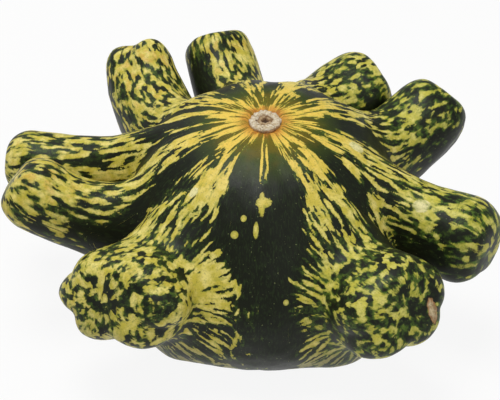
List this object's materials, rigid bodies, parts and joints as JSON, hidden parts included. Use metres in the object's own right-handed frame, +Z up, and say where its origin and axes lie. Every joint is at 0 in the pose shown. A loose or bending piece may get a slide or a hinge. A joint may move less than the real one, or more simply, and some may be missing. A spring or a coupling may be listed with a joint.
{
  "type": "ornamental gourd",
  "caption": "Low domed ornamental gourd with knobbly fingers spreading from its ribs, streaked yellow and dark green, with a corky stem scar on top.",
  "frame": {"origin": "on the flat underside, below the middle of the dome", "axes": "+Z up towards the stem scar; -Y towards the one rib that has no finger; +X to its right as seen from there"},
  "size_m": [0.1484, 0.1338, 0.0692],
  "materials": {
    "rind": "smooth waxy rind, streaked and blotched yellow on near-black green",
    "cork": "dry, matt and cracked"
  },
  "bodies": {
    "root": {"gourd_body": "rind", "stem_scar": "cork"}
  },
  "joints": []
}
